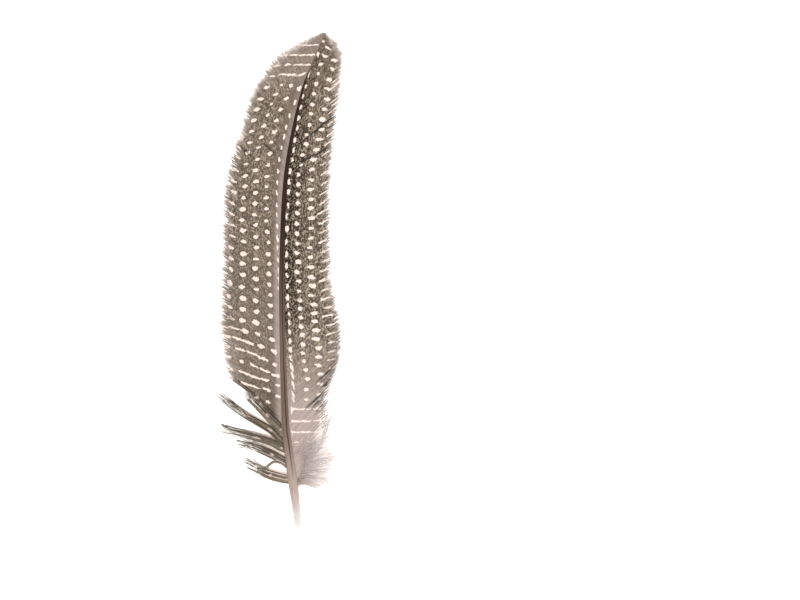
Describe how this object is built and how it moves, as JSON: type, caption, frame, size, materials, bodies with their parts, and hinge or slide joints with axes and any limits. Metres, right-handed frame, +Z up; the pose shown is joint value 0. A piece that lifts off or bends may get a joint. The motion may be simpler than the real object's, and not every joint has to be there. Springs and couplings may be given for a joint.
{
  "type": "guinea fowl feather",
  "caption": "Curved wing feather with a tapering shaft, a wide and a narrow spotted vane, torn loose locks and a tuft of down at the base, lying flat.",
  "frame": {"origin": "middle of the feather's box, on the surface that it lies on", "axes": "+Y from the cut end of the quill to the tip, +X towards the narrow vane, +Z up, out of the feather's upper face"},
  "size_m": [0.0471, 0.1831, 0.0052],
  "materials": {
    "vane": "matte",
    "shaft": "satin",
    "down": "matte"
  },
  "bodies": {
    "root": {"feather": "vane"}
  },
  "joints": []
}
